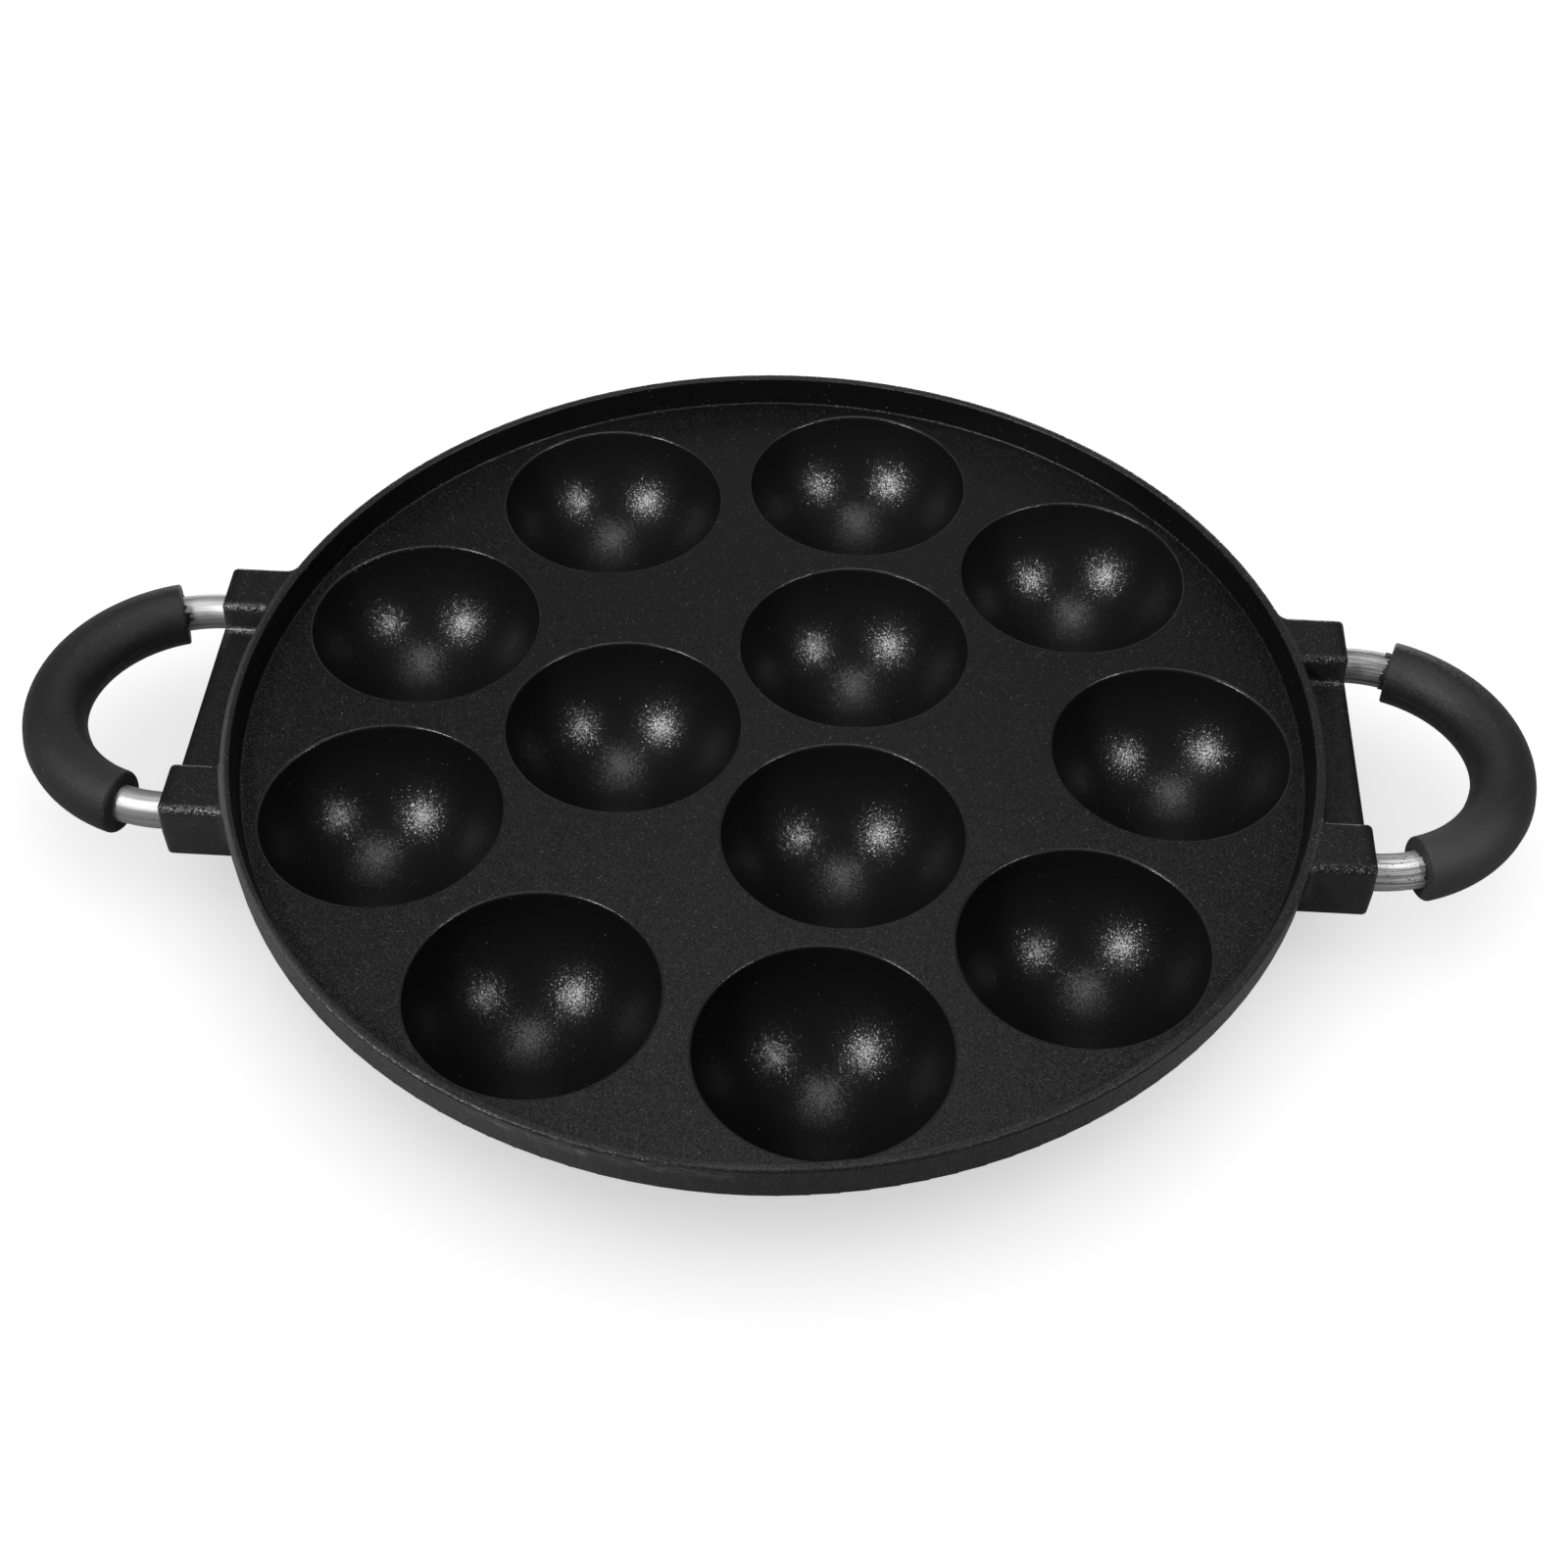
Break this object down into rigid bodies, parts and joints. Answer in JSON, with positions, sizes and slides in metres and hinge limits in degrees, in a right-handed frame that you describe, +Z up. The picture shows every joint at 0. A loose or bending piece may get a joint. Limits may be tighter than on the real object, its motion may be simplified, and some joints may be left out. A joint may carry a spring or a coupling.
{
  "type": "takoyaki pan",
  "caption": "Round cast pan with hemispherical cups in two rings inside a low rim, carried by two rubber-sleeved tube handles pinned into cast lugs.",
  "frame": {"origin": "middle of the surface that the cup feet stand on, under the middle of the pan", "axes": "+Z up; +X and -X along the two handles; +Y across them"},
  "size_m": [0.334, 0.2398, 0.031],
  "materials": {
    "coated_casting": "matte",
    "handle_steel": "satin",
    "grip_rubber": "matte",
    "spring_steel": "satin"
  },
  "bodies": {
    "root": {"pan_casting": "coated_casting", "left_handle_tube": "handle_steel", "left_grip": "grip_rubber", "left_front_roll_pin": "spring_steel", "left_back_roll_pin": "spring_steel", "right_handle_tube": "handle_steel", "right_grip": "grip_rubber", "right_front_roll_pin": "spring_steel", "right_back_roll_pin": "spring_steel"}
  },
  "joints": []
}
